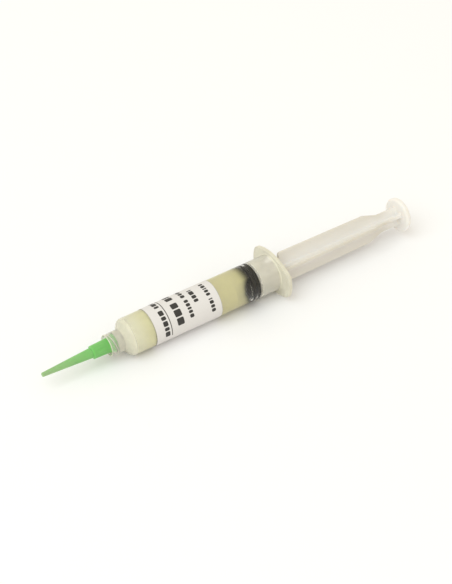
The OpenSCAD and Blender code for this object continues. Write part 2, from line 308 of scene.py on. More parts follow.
def make_camera():
    """A camera that looks along the view direction (sin a cos d, cos a cos d, -sin d) at AIM."""
    view = Vector(
        (
            math.sin(CAMERA_TURN) * math.cos(CAMERA_DROP),
            math.cos(CAMERA_TURN) * math.cos(CAMERA_DROP),
            -math.sin(CAMERA_DROP),
        )
    )
    data = bpy.data.cameras.new("camera")
    data.sensor_fit = "VERTICAL"
    data.angle = 2 * math.atan(PHOTO_H / 2 / FOCAL_PX)
    data.clip_start = 0.01
    camera = bpy.data.objects.new("camera", data)
    camera.matrix_world = facing((Vector(AIM) - view * CAMERA_FAR) * MM, view)
    bpy.context.collection.objects.link(camera)
    bpy.context.scene.camera = camera


def area_light(name, place, aim, size, power, colour):
    """A square soft light of this size, in metres, turned towards a point."""
    data = bpy.data.lights.new(name, "AREA")
    data.size = size
    data.energy = power
    data.color = colour
    light = bpy.data.objects.new(name, data)
    light.matrix_world = facing(place, Vector(aim) - Vector(place))
    bpy.context.collection.objects.link(light)


def make_light():
    """Soft warm surroundings and one broad cool light above, towards the tip."""
    scene = bpy.context.scene
    scene.view_settings.view_transform = "Standard"
    world = bpy.data.worlds.new("surroundings")
    world.use_nodes = True
    background = world.node_tree.nodes["Background"]
    background.inputs["Color"].default_value = (1, 0.945, 0.83, 1)
    background.inputs["Strength"].default_value = 0.89
    scene.world = world
    area_light("key", place=(-1.1, -0.3, 1.8), aim=(0.09, 0, 0), size=2, power=22, colour=(0.82, 0.93, 1))


def make_floor():
    """A pale floor on which the syringe lies. It touches the barrel's shoulder and the finger flange."""
    slope = (BARREL_R - FLANGE_R) / (FLANGE_X - SHOULDER_END_X)
    reach = 4000
    x = np.array([-reach, reach, reach, -reach])
    y = np.array([-reach, -reach, reach, reach])
    z = slope * (x - SHOULDER_END_X) - BARREL_R
    mesh = bpy.data.meshes.new("floor")
    mesh.from_pydata((np.stack([x, y, z], 1) * MM).tolist(), [], [(0, 1, 2, 3)])
    floor = bpy.data.objects.new("floor", mesh)
    bpy.context.collection.objects.link(floor)
    material, shader, _ = plastic("floor_white", (0.92, 0.92, 0.94), 0.9)
    shader.inputs["Specular IOR Level"].default_value = 0
    mesh.materials.append(material)


# Materials

def plastic(name, colour, roughness):
    """A material with one principled shader. Gives the material, the shader and its node tree."""
    material = bpy.data.materials.new(name)
    material.use_nodes = True
    tree = material.node_tree
    shader = tree.nodes["Principled BSDF"]
    shader.inputs["Base Color"].default_value = (*colour, 1)
    shader.inputs["Roughness"].default_value = roughness
    return material, shader, tree


def add_node(tree, kind, **values):
    """A node whose named inputs or properties are set."""
    node = tree.nodes.new(kind)
    for key, value in values.items():
        if key in node.inputs:
            node.inputs[key].default_value = value
        else:
            setattr(node, key, value)
    return node


def noise(tree, size, detail=3.0, stretch=(1, 1, 1)):
    """Noise of this grain, in millimetres, on the Object coordinates. It lies mostly within 0.3 to 0.7."""
    place = tree.nodes.new("ShaderNodeTexCoord")
    mapping = tree.nodes.new("ShaderNodeMapping")
    mapping.inputs["Scale"].default_value = tuple(s / (size * MM) for s in stretch)
    grain = add_node(tree, "ShaderNodeTexNoise", Scale=1.0, Detail=detail)
    tree.links.new(place.outputs["Object"], mapping.inputs["Vector"])
    tree.links.new(mapping.outputs["Vector"], grain.inputs["Vector"])
    return grain.outputs["Fac"]


def remap(tree, source, low, high, from_low=0.3, from_high=0.7):
    """Maps a value from the range from_low..from_high to low..high."""
    node = tree.nodes.new("ShaderNodeMapRange")
    node.inputs["From Min"].default_value = from_low
    node.inputs["From Max"].default_value = from_high
    node.inputs["To Min"].default_value = low
    node.inputs["To Max"].default_value = high
    tree.links.new(source, node.inputs["Value"])
    return node.outputs["Result"]


def plug(tree, colour, socket):
    """Sets a socket to a plain colour, or links a colour output to it."""
    if isinstance(colour, bpy.types.NodeSocket):
        tree.links.new(colour, socket)
    else:
        socket.default_value = (*colour, 1)


def blend_colours(tree, share, first, second):
    """Colour that goes from the first to the second with the share. Each is a plain colour or an output."""
    node = add_node(tree, "ShaderNodeMix", data_type="RGBA")
    tree.links.new(share, node.inputs["Factor"])
    plug(tree, first, node.inputs[6])
    plug(tree, second, node.inputs[7])
    return node.outputs[2]


def multiply_colours(tree, first, second):
    """Product of two colour outputs."""
    node = add_node(tree, "ShaderNodeMix", data_type="RGBA", blend_type="MULTIPLY", Factor=1.0)
    plug(tree, first, node.inputs[6])
    plug(tree, second, node.inputs[7])
    return node.outputs[2]


def colour_ramp(tree, share, first, last, between):
    """Colour along a ramp: the first at 0, the last at 1, and the colours between, by their place."""
    node = add_node(tree, "ShaderNodeValToRGB")
    node.color_ramp.elements[0].color = (*first, 1)
    node.color_ramp.elements[1].color = (*last, 1)
    for place, colour in between.items():
        node.color_ramp.elements.new(place).color = (*colour, 1)
    tree.links.new(share, node.inputs["Fac"])
    return node.outputs["Color"]


def bump(tree, shader, height, depth, strength):
    """Bump of this depth, in millimetres, from a height between 0 and 1."""
    node = add_node(tree, "ShaderNodeBump", Strength=strength, Distance=depth * MM)
    tree.links.new(height, node.inputs["Height"])
    tree.links.new(node.outputs["Normal"], shader.inputs["Normal"])


def attribute(tree, name):
    """The value that a piece's points carry under this name."""
    node = add_node(tree, "ShaderNodeAttribute", attribute_name=name)
    return node.outputs["Fac"]


def multiply(tree, a, b):
    """Product of two value outputs."""
    node = add_node(tree, "ShaderNodeMath", operation="MULTIPLY")
    tree.links.new(a, node.inputs[0])
    tree.links.new(b, node.inputs[1])
    return node.outputs["Value"]


def barrel_plastic():
    """Frosted polypropylene: nearly clear where flux or rubber touch it, milky where it is thick or hollow.

    The haze attribute is the milky share. It also takes the tint from nearly clear to a dull cream at
    0.85, which grows paler above that, and the finish from glossy up to 0.46 to satin from 0.49 on.
    """
    material, shader, tree = plastic("frosted_polypropylene", (0.9, 0.88, 0.8), 0.2)
    shader.inputs["IOR"].default_value = 1.33
    frost = remap(tree, noise(tree, 2.2), 0.88, 1.12)
    haze = attribute(tree, "haze")
    milky = multiply(tree, haze, frost)
    tree.links.new(remap(tree, milky, 1, 0, 0, 1), shader.inputs["Transmission Weight"])
    cream = {0.5: (0.775, 0.745, 0.61)}
    tint = colour_ramp(tree, remap(tree, milky, 0, 1, 0, 1.7), (1, 0.99, 0.95), (0.97, 0.96, 0.88), cream)
    tree.links.new(tint, shader.inputs["Base Color"])
    finish = remap(tree, haze, 0.15, 0.36, 0.46, 0.49)
    uneven = remap(tree, noise(tree, 0.5), 0.85, 1.15)
    tree.links.new(multiply(tree, finish, uneven), shader.inputs["Roughness"])
    bump(tree, shader, noise(tree, 0.35), 0.004, 0.5)
    return material


def rod_plastic():
    """Natural polypropylene, slightly translucent, with faint flow lines along the rod.

    Its tone attribute runs from 0 at the webs' outer edges, darkened there as painted shade, over 0.5 on
    their faces to 1 on the thick thumb rest.
    """
    material, shader, tree = plastic("natural_polypropylene", linear(228, 224, 212), 0.42)
    # edge is painted shade on the webs' outer band
    edge, face, thick = linear(211, 206, 196), linear(230, 228, 225), linear(234, 231, 226)
    tone = colour_ramp(tree, attribute(tree, "tone"), edge, thick, {0.5: face})
    lines = noise(tree, 3, stretch=(0.15, 1, 1))
    flow = blend_colours(tree, lines, (0.96, 0.955, 0.945), (1.04, 1.045, 1.055))
    tree.links.new(multiply_colours(tree, tone, flow), shader.inputs["Base Color"])
    tree.links.new(remap(tree, noise(tree, 0.6), 0.4, 0.55), shader.inputs["Roughness"])
    shader.inputs["Subsurface Weight"].default_value = 0.6
    shader.inputs["Subsurface Radius"].default_value = (1.0, 0.95, 0.85)
    shader.inputs["Subsurface Scale"].default_value = 1.3 * MM
    bump(tree, shader, noise(tree, 0.8, 4, stretch=(0.3, 1, 1)), 0.015, 0.6)
    return material


def stopper_rubber():
    """Black rubber with a film of lubricant, black at the edges of the ribs and painted a soft grey sheen
    on their crests.
    """
    material, shader, tree = plastic("black_rubber", linear(36, 34, 33), 0.38)
    grain = noise(tree, 1.2, 4)
    # crest is a painted sheen: the soft grey on the ribs' crests
    crest = blend_colours(tree, grain, linear(42, 39, 33), linear(56, 53, 46))
    dark = blend_colours(tree, grain, linear(12, 11, 10), linear(22, 20, 18))
    tree.links.new(blend_colours(tree, attribute(tree, "crest"), dark, crest), shader.inputs["Base Color"])
    tree.links.new(remap(tree, noise(tree, 0.7), 0.3, 0.5), shader.inputs["Roughness"])
    shader.inputs["Specular IOR Level"].default_value = 0.3
    bump(tree, shader, noise(tree, 0.3, 4), 0.012, 0.6)
    return material


def label_paper():
    """Matt white paper with fibres, darker at its cut edges."""
    material, shader, tree = plastic("label_paper", linear(222, 219, 217), 0.75)
    fibre = blend_colours(tree, noise(tree, 0.5, 5), linear(217, 214, 212), linear(227, 224, 222))
    paper = blend_colours(tree, attribute(tree, "edge"), fibre, linear(120, 112, 98))
    tree.links.new(paper, shader.inputs["Base Color"])
    shader.inputs["Specular IOR Level"].default_value = 0.25
    bump(tree, shader, noise(tree, 0.18, 5), 0.012, 0.7)
    return material


def label_ink():
    """Toner: nearly black in bold blocks, thinner and greyer in the fine rows."""
    material, shader, tree = plastic("label_ink", linear(40, 38, 36), 0.5)
    grain = noise(tree, 0.25, 4)
    bold = blend_colours(tree, grain, linear(28, 27, 26), linear(58, 56, 53))
    fine = blend_colours(tree, grain, linear(96, 92, 88), linear(128, 124, 119))
    tree.links.new(blend_colours(tree, attribute(tree, "fine"), bold, fine), shader.inputs["Base Color"])
    bump(tree, shader, noise(tree, 0.18, 5), 0.01, 0.5)
    return material


def flux_material():
    """Pale yellow cloudy gel.

    Its shade attribute carries painted light and shade. It runs from 0, black where the stopper drinks
    up the light, over REAR_SHADE, painted shade towards the stopper, and 1 for the plain gel, to
    PALE_SHADE, painted light where the gel lies on the shoulder and looks whitish.
    """
    material, shader, tree = plastic("gel_flux", (0.9, 0.87, 0.52), 0.3)
    shade = remap(tree, attribute(tree, "shade"), 0, 1, 0, PALE_SHADE)
    # The ramp's black end and its REAR_SHADE stop are painted shade, its PALE_SHADE end painted light
    gel = {REAR_SHADE / PALE_SHADE: (0.81, 0.765, 0.4), 1 / PALE_SHADE: (0.965, 0.94, 0.55)}
    tone = colour_ramp(tree, shade, (0.01, 0.01, 0.006), (0.998, 0.99, 0.8), gel)
    cloud = blend_colours(tree, noise(tree, 7, stretch=(0.6, 1, 1)), (0.97, 0.965, 0.93), (1, 1, 1))
    tree.links.new(multiply_colours(tree, tone, cloud), shader.inputs["Base Color"])
    bump(tree, shader, noise(tree, 2.5, 2), 0.05, 0.3)
    return material


def bubble_material():
    """Air bubbles: small beads, near white as a painted glint."""
    material, shader, tree = plastic("air_bubble", linear(235, 235, 225), 0.15)
    tree.links.new(remap(tree, noise(tree, 0.2), 0.1, 0.25), shader.inputs["Roughness"])
    return material


def tip_plastic():
    """Green polyethylene, translucent.

    Its zone attribute runs from 0 at the hub's rear, painted a lighter green inside the collar as painted
    light, over 0.5 at its deep green front, to 1 on the greyish cone, painted paler for the light that
    shines through its thin wall and off the floor.
    """
    material, shader, tree = plastic("green_polyethylene", linear(120, 188, 106), 0.4)
    # rear is painted light, and the cone's paler colour is painted light through its thin wall and off the
    # floor
    rear, front, cone = linear(126, 218, 108), linear(117, 189, 102), linear(150, 182, 129)
    green = colour_ramp(tree, attribute(tree, "zone"), rear, cone, {0.5: front})
    flow = blend_colours(tree, noise(tree, 3, stretch=(0.4, 1, 1)), (0.88, 0.92, 0.86), (1.1, 1.06, 1.12))
    tree.links.new(multiply_colours(tree, green, flow), shader.inputs["Base Color"])
    tree.links.new(remap(tree, noise(tree, 0.5), 0.34, 0.48), shader.inputs["Roughness"])
    shader.inputs["Subsurface Weight"].default_value = 0.7
    shader.inputs["Subsurface Radius"].default_value = (0.7, 1.0, 0.6)
    shader.inputs["Subsurface Scale"].default_value = 1.5 * MM
    bump(tree, shader, noise(tree, 0.4, 4), 0.012, 0.5)
    return material


# Surfaces

def fillet_path(corners, closed=True, steps=7):
    """Path through corners (x, r, fillet radius, more values), each cut by an arc tangent to its two sides.

    The arc's ends lie radius / tan(half the corner's angle) from the corner, and its centre lies on
    the bisector, radius / sin(half the angle) away. The further values stay the corner's own.
    """
    corners = [np.array(c, float) for c in corners]
    out = []
    for i, corner in enumerate(corners):
        ends = not closed and i in (0, len(corners) - 1)
        if corner[2] == 0 or ends:
            out.append(corner)
            continue
        before = corners[i - 1][:2] - corner[:2]
        after = corners[(i + 1) % len(corners)][:2] - corner[:2]
        before /= np.linalg.norm(before)
        after /= np.linalg.norm(after)
        half = math.acos(np.clip(before @ after, -1, 1)) / 2
        bisector = (before + after) / np.linalg.norm(before + after)
        centre = corner[:2] + bisector * corner[2] / math.sin(half)
        start = corner[:2] + before * corner[2] / math.tan(half) - centre
        end = corner[:2] + after * corner[2] / math.tan(half) - centre
        turn = math.pi - 2 * half
        for t in np.linspace(0, 1, steps):
            arm = (math.sin((1 - t) * turn) * start + math.sin(t * turn) * end) / math.sin(turn)
            out.append(np.concatenate([centre + arm, corner[2:]]))
    return np.array(out)


def about_axis(x, r, phi):
    """Points (x, r cos phi, r sin phi) for arrays of stations and radii over angles phi round the axis."""
    x, r, phi = np.broadcast_arrays(x, r, phi)
    return np.stack([x, r * np.cos(phi), r * np.sin(phi)], -1)


def ring_angles(count):
    """Even angles round the axis, without the full turn."""
    return np.linspace(0, 2 * math.pi, count, endpoint=False)


def skin(points, rows_close=False, columns_close=True, values=0):
    """Closed surface over a grid of points [row, column], with quads between neighbours.

    Gives vertices, faces and one value for each vertex. Where rows don't close, the first and the
    last row are capped by a fan round their middle. Where columns don't close, the first and the
    last column are capped by one face each. Faces are turned so that the quads' volume is positive.
    """
    n, m = points.shape[:2]
    index = np.arange(n * m).reshape(n, m)
    if rows_close:
        index = np.vstack([index, index[:1]])
    if columns_close:
        index = np.hstack([index, index[:, :1]])
    quads = np.stack([index[:-1, :-1], index[:-1, 1:], index[1:, 1:], index[1:, :-1]], -1).reshape(-1, 4)
    vertices = points.reshape(-1, 3)
    faces = quads.tolist()
    value = np.broadcast_to(values, (n, m)).reshape(-1)
    if not rows_close:
        middles = np.array([points[0].mean(0), points[-1].mean(0)])
        first, last = len(vertices), len(vertices) + 1
        vertices = np.vstack([vertices, middles])
        value = np.concatenate([value, [value[0], value[n * m - 1]]])
        faces += np.stack([index[0, 1:], index[0, :-1], np.full(m, first)], -1).tolist()
        faces += np.stack([index[-1, :-1], index[-1, 1:], np.full(m, last)], -1).tolist()
    if not columns_close:
        faces += [index[:n, 0].tolist(), index[:n, -1][::-1].tolist()]
    a, b, c, d = (vertices[quads[:, k]] for k in range(4))
    volume = np.einsum("ij,ij->", a, np.cross(b, c)) + np.einsum("ij,ij->", a, np.cross(c, d))
    if volume < 0:
        faces = [face[::-1] for face in faces]
    return vertices, faces, value


def make_piece(name, skins, material, body, slot, nodes=(), value_name=None):
    """A piece from one or more closed surfaces, smooth except at edges sharper than CREASE.

    Its points carry the skins' values under value_name.
    """
    vertices, faces, values, start = [], [], [], 0
    for points, quads, value in skins:
        vertices.append(points)
        values.append(value)
        faces += [[i + start for i in face] for face in quads]
        start += len(points)
    mesh = bpy.data.meshes.new(name)
    mesh.from_pydata((np.vstack(vertices) * MM).tolist(), [], faces)
    if value_name:
        layer = mesh.attributes.new(value_name, "FLOAT", "POINT")
        layer.data.foreach_set("value", np.concatenate(values).astype(np.float32))
    mesh.polygons.foreach_set("use_smooth", np.ones(len(mesh.polygons), bool))
    mesh.set_sharp_from_angle(angle=CREASE)
    mesh.materials.append(material)
    mesh.validate()
    piece = bpy.data.objects.new(name, mesh)
    bpy.context.collection.objects.link(piece)
    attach(piece, body)
    if nodes:
        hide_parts(*nodes)
    return piece


# Barrel

def ray_to_circle(phi, centre, radius):
    """Reach from the axis, at an angle, to the far side of a circle round a centre (y, z).

    A ray along the unit vector u meets the circle round c at u.c + sqrt((u.c)^2 - c.c + R^2).
    """
    along = np.cos(phi) * centre[0] + np.sin(phi) * centre[1]
    return along + np.sqrt(np.maximum(along**2 - centre @ centre + radius**2, 0))


def wing_outline(phi):
    """Reach of the flange at an angle: its long side, its wing end, or the round between the two.

    Side and end are arcs. The round's middle lies where circles about their middles meet, each
    one WING_CORNER smaller than its arc, so that the round touches both arcs from inside.
    """
    phi = np.arctan2(np.abs(np.sin(phi)), np.abs(np.cos(phi)))
    side, end = np.array([0, FLANGE_R - SIDE_ARC_R]), np.array([WING_R - WING_ARC_R, 0])
    to_side, to_end = SIDE_ARC_R - WING_CORNER, WING_ARC_R - WING_CORNER
    apart = np.linalg.norm(end - side)
    way = (end - side) / apart
    along = (to_side**2 - to_end**2 + apart**2) / (2 * apart)
    corner = side + along * way + math.sqrt(to_side**2 - along**2) * np.array([way[1], -way[0]])
    side_touch = side + (corner - side) * SIDE_ARC_R / to_side
    end_touch = end + (corner - end) * WING_ARC_R / to_end
    side_from = math.atan2(side_touch[1], side_touch[0])
    end_to = math.atan2(end_touch[1], end_touch[0])
    reach = ray_to_circle(phi, corner, WING_CORNER)
    reach = np.where(phi > side_from, ray_to_circle(phi, side, SIDE_ARC_R), reach)
    return np.where(phi < end_to, ray_to_circle(phi, end, WING_ARC_R), reach)


def bead_path(haze):
    """The retaining bead: an arc of radius BEAD_R that stands BEAD_RISE into the bore."""
    half = math.acos(1 - BEAD_RISE / BEAD_R)
    return [
        (BEAD_X + BEAD_R * math.sin(t), BORE_R - BEAD_RISE + BEAD_R * (1 - math.cos(t)), 0, 0, haze)
        for t in np.linspace(half, -half, 7)
    ]


def thread_ridge(x, phi):
    """Share of the luer lock's thread at a station and angle: 1 on its crest, 0 in the groove between.

    Each start climbs THREAD_LEAD in a turn, so the starts lie pitch = THREAD_LEAD / THREAD_STARTS apart,
    and the ridge slopes down between its crest and its foot. It fades out at both ends.
    """
    pitch = THREAD_LEAD / THREAD_STARTS
    away = np.abs((x - THREAD_LEAD * phi / (2 * math.pi) + pitch / 2) % pitch - pitch / 2)
    fade = smooth((x - THREAD_X0) / THREAD_FADE) * smooth((THREAD_X1 - x) / THREAD_FADE)
    return np.clip((THREAD_FOOT - away) / (THREAD_FOOT - THREAD_CREST), 0, 1) * fade


def barrel_skin():
    """One closed profile turned about the axis.

    Its corners hold the station, the radius, the fillet, the share of the flange's reach and the haze.
    """
    outside = [
        (LUER_X, LUER_BORE_R, 0.08, 0, HAZE_CONE),
        (LUER_X, LUER_END_R, 0.15, 0, HAZE_CONE),
        (FLOOR_X, LUER_END_R + LUER_SLOPE * (FLOOR_X - LUER_X), 0.2, 0, HAZE_CONE),
        (FLOOR_X, THREAD_ROOT_R, 0.15, 0, HAZE_CONE),
        (HUB_REAR_X, THREAD_ROOT_R, 0, 0, HAZE_CONE),
        *[(x, THREAD_ROOT_R, 0, 0, CLEAR) for x in np.linspace(THREAD_X1, THREAD_X0, 40)],
        (COLLAR_X, THREAD_ROOT_R, 0.12, 0, HAZE_CONE),
        (COLLAR_X, COLLAR_R, 0.2, 0, HAZE_RIM),
        (COLLAR_X + 0.5, COLLAR_R, 0, 0, HAZE_COLLAR),
        (HUB_REAR_X - 0.5, COLLAR_R, 0, 0, HAZE_COLLAR),
        (HUB_REAR_X - 0.3, COLLAR_R, 0, 0, HAZE_ROOT),
        (ROOT_X, COLLAR_R, 0.3, 0, HAZE_ROOT),
        (SHOULDER_X, BARREL_R, SHOULDER_ROUND, 0, HAZE_SHOULDER),
        (ROOT_X + 3.8, BARREL_R, 0, 0, 1.1 * HAZE_FLUX),
        (ROOT_X + 13, BARREL_R, 0, 0, HAZE_FLUX),
        (RIB_X - 6, BARREL_R, 0, 0, HAZE_FLUX),
        (RIB_X - 3.5, BARREL_R, 0, 0, 0.3 * HAZE_FLUX),
        (RIB_X - 1.5, BARREL_R, 0, 0, CLEAR),
        (RIB_X, BARREL_R, 0, 0, CLEAR),
        (STOPPER_X, BARREL_R, 0, 0, CLEAR),
        (STOPPER_X + 0.6, BARREL_R, 0, 0, HAZE_EMPTY),
        (FLANGE_X - 1, BARREL_R, 0, 0, HAZE_EMPTY),
        (FLANGE_X, BARREL_R, FLANGE_FILLET, 0, HAZE_FLANGE),
        (FLANGE_X, FLANGE_R, RIM_ROUND, 1, HAZE_FLANGE),
        (MOUTH_X, FLANGE_R, RIM_ROUND, 1, HAZE_FLANGE),
    ]
    inside = [
        (MOUTH_X, BORE_R, 0.25, 0, HAZE_FLANGE),
        (FLANGE_X, BORE_R, 0, 0, CLEAR),
        *bead_path(CLEAR),
        (STOPPER_X, BORE_R, 0, 0, CLEAR),
        (ROOT_X + 5, BORE_R, 0, 0, CLEAR),
        (BORE_CONE_X, BORE_R, BORE_ROUND, 0, CLEAR),
        (BORE_X, BORE_CORNER_R, 0.2, 0, CLEAR),
        (BORE_X, LUER_BORE_R, 0.1, 0, CLEAR),
    ]
    path = fillet_path(outside + inside)
    phi = ring_angles(RING)
    x, r, reach = path[:, :1], path[:, 1:2], path[:, 3:4]
    r = r + reach * (wing_outline(phi) - FLANGE_R)
    thread = thread_ridge(x, phi) * (np.abs(r - THREAD_ROOT_R) < 0.01)
    haze = path[:, 4:5] + HAZE_THREAD * thread
    return skin(about_axis(x, r - THREAD_DEPTH * thread, phi), rows_close=True, values=haze)


def make_barrel():
    """The barrel, whose wall is milky by its haze."""
    make_piece(
        "barrel_moulding",
        [barrel_skin()],
        barrel_plastic(),
        "barrel",
        "frosted_barrel",
        ["barrel"],
        value_name="haze",
    )


# Label

def sheet_skin(phi, x0, x1, r0, r1, edge):
    """A thin sheet bent round the barrel, whose front and rear edges may be arrays over the angle phi.

    Its value is 1 on those two edges and falls to 0 over a band as wide as edge.
    """
    x0, x1 = np.broadcast_to(x0, phi.shape), np.broadcast_to(x1, phi.shape)
    x = np.stack([x0, x0, x0 + edge, x1 - edge, x1, x1, x1 - edge, x0 + edge])
    r = np.array([r0, r1, r1, r1, r1, r0, r0, r0])[:, None]
    value = np.array([1, 1, 0, 0, 1, 1, 0, 0])[:, None]
    return skin(about_axis(x, r, phi), rows_close=True, columns_close=False, values=value)


def make_label():
    """Paper from one side of the window round to the other, with round corners."""
    half = WINDOW_W / 2 / LABEL_R
    first, last = WINDOW_TURN + half - 2 * math.pi, WINDOW_TURN - half
    ends = np.linspace(0, LABEL_CORNER / LABEL_R, 12)
    middle = np.linspace(first + ends[-1], last - ends[-1], 160)[1:-1]
    phi = np.concatenate([first + ends, middle, last - ends[::-1]])
    from_end = np.minimum(phi - first, last - phi) * LABEL_R
    reach = np.clip(LABEL_CORNER - from_end, 0, LABEL_CORNER)
    inset = LABEL_CORNER - np.sqrt(LABEL_CORNER**2 - reach**2)
    paper = sheet_skin(phi, LABEL_X0 + inset, LABEL_X1 - inset, BARREL_R, LABEL_R, PAPER_EDGE)
    make_piece("label_sheet", [paper], label_paper(), "barrel", "label_paper", ["label"], value_name="edge")


def ink_block(x, height, turn, width, fine):
    """A block of ink with round corners on the label, from the angle turn over its width.

    Its front and rear edges draw in by c - sqrt(c^2 - d^2) within the corner radius c of an end.
    """
    corner = min(0.3 * height, 0.45 * width, 0.5)
    ends = np.linspace(0, corner, 5)
    middle = np.linspace(corner, width - corner, max(3, int(4 * width)))[1:-1]
    along = np.concatenate([ends, middle, width - ends[::-1]])
    reach = np.clip(corner - np.minimum(along, width - along), 0, corner)
    half = height / 2 - corner + np.sqrt(corner**2 - reach**2)
    phi = turn - along / LABEL_R
    points, faces, value = sheet_skin(phi, x - half, x + half, LABEL_R - INK_T, LABEL_R + INK_T, INK_EDGE)
    return points, faces, np.full_like(value, fine)


def print_row(x, height, start, gap, fine, widths):
    """A row of blocks read round the barrel, from the angle start. A negative width leaves a space."""
    turn = math.radians(start)
    skins = []
    for width in widths:
        if width > 0:
            skins.append(ink_block(x, height, turn, width, fine))
        turn -= (abs(width) + gap) / LABEL_R
    return skins


def make_print():
    """Generic print: rows of plain blocks where a label has its words, and a rule under the first row."""
    skins = [block for back, *row in PRINT_ROWS for block in print_row(LABEL_X0 + back, *row)]
    make_piece("label_print", skins, label_ink(), "barrel", "label_paper", value_name="fine")


# Flux

def pocket(phi):
    """Depth of the air pocket in front of the stopper at an angle: a parabola with a slightly wavy rim."""
    away = (phi - POCKET_TURN + math.pi) % (2 * math.pi) - math.pi
    share = np.where(away < 0, away / POCKET_ABOVE, away / POCKET_BELOW)
    wave = 0.15 * np.sin(7 * phi) + 0.1 * np.sin(13 * phi + 1)
    return np.clip((POCKET_DEPTH + wave) * (1 - share**2), 0, None)


def flux_shade(x):
    """Painted shade and light of the flux at a station, before the stopper's painted shade darkens it."""
    along = x - FRONT_END_X
    deep = np.clip((along - DARKEN_FROM) / DARKEN_REACH, 0, 1)
    pale = smooth(1 - along / PALE_REACH)
    return 1 - (1 - REAR_SHADE) * deep + (PALE_SHADE - 1) * pale


def flux_column_skin(rear):
    """Plain tube of flux, from behind the shoulder to a flat rear. The stopper's nose fits in it."""
    steps = 40
    x = np.linspace(FRONT_END_X, rear, steps)[:, None]
    r = np.repeat([[FLUX_R], [COLUMN_BORE_R]], steps, axis=0)
    x = np.vstack([x, x[::-1]])
    return skin(about_axis(x, r, ring_angles(RING)), rows_close=True, values=flux_shade(x))


def flux_tail_skin(front, rear):
    """Flux up to the stopper's nose: a cylinder whose rear is hollowed by the nose and the air pocket.

    Near the stopper its painted shade falls off twice: close by almost to black, and dimmer over a longer
    way.
    """
    phi = ring_angles(RING)
    along = np.concatenate([np.linspace(0, 0.7, 12), np.linspace(0.7, 1, 28)[1:]])[:, None]
    rim = rear - pocket(phi)
    x_side = front + (rim - front) * along
    r_side = np.full_like(x_side, TAIL_R)
    shade = flux_shade(x_side)
    for drop, reach in [(DARK_DROP, DARK_REACH - POCKET_EDGE * pocket(phi)), (DIM_DROP, DIM_REACH)]:
        shade = shade * (1 - drop * np.exp(-(((x_side - rim) / reach) ** 2)))
    t = np.linspace(0, 1, 12)[:, None]
    r_end = TAIL_R - TAIL_EDGE + (NOSE_FLAT_R - TAIL_R + TAIL_EDGE) * t
    x_nose = rear - SHOULDER_RISE * (NOSE_R - np.minimum(r_end, NOSE_R))
    x_end = x_nose - pocket(phi) * (1 - t) ** 1.5
    r_end = np.broadcast_to(r_end, x_end.shape)
    x = np.vstack([x_side[:1], x_side, x_end])
    r = np.vstack([r_side[:1] * 0.5, r_side, r_end])
    # The end, which lines the nose's hollow and the air pocket, is painted dark as shade
    values = np.vstack([shade[:1], shade, np.full_like(x_end, END_SHADE)])
    return skin(about_axis(x, r, phi), values=values)


def flux_front_skin():
    """The flux that stays in front: a stem in the male cone, and a layer on the inside of the shoulder."""
    def face(inset):
        """One face of the layer, this far inside the bore: its flat end's corner, its cone and its side."""
        return [
            (BORE_X + inset, BORE_CORNER_R - inset * (SLANT - 1) / SHOULDER_RISE, 0.1),
            (BORE_CONE_X + inset, BORE_R - inset, BORE_ROUND - inset),
            (FRONT_END_X, BORE_R - inset, 0),
        ]

    stem_r = LUER_BORE_R + PRESS_IN
    inner = FRONT_LAYER - PRESS_IN
    corners = [
        (LUER_X, 0.3, 0),
        (LUER_X, stem_r, 0),
        (BORE_X - PRESS_IN, stem_r, 0),
        *face(-PRESS_IN),
        *face(inner)[::-1],
        (BORE_X + inner, 0.3, 0),
    ]
    path = fillet_path(corners, closed=False)
    # The front layer is painted pale, as painted light
    return skin(about_axis(path[:, :1], path[:, 1:2], ring_angles(RING)), values=PALE_SHADE)


def make_flux():
    """Flux in three pieces, so that it fills the barrel wherever the stopper is.

    One layer stays in the front of the barrel, and so does the column.
    The tail clings to the stopper. Its front lies inside the column, and shows as the plunger is drawn out.
    """
    material = flux_material()
    rear = RIB_X - NOSE_GAP
    look = (material, "barrel", "gel_flux", ["flux_gel"], "shade")
    make_piece("flux_front", [flux_front_skin()], *look)
    column = make_piece("flux_column", [flux_column_skin(rear - TAIL_SHOWN)], *look)
    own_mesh(column)
    tail_skin = flux_tail_skin(rear - TAIL_LEN, rear)
    tail = make_piece("flux_tail", [tail_skin], material, "plunger", "gel_flux", ["flux_gel"], "shade")
    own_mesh(tail)


def ball_skin(x, turn, radius, r):
    """A small ball: latitude rows and longitude columns round its own middle."""
    lat = np.linspace(-math.pi / 2, math.pi / 2, 9)[1:-1, None]
    lon = ring_angles(12)
    middle = np.array([x, radius * math.cos(turn), radius * math.sin(turn)])
    unit = np.broadcast_arrays(np.cos(lat) * np.cos(lon), np.cos(lat) * np.sin(lon), np.sin(lat))
    return skin(middle + r * np.stack(unit, -1))


def make_bubbles():
    """Small air bubbles at the foot of the stopper's nose, in the pocket. They close up with the flux."""
    middle_r = BORE_R - BUBBLE_DEPTH
    skins = [ball_skin(RIB_X - back, math.radians(turn), middle_r, r) for turn, back, r in BUBBLES]
    bubbles = make_piece("flux_bubbles", skins, bubble_material(), "plunger", "gel_flux")
    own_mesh(bubbles)


# Stopper

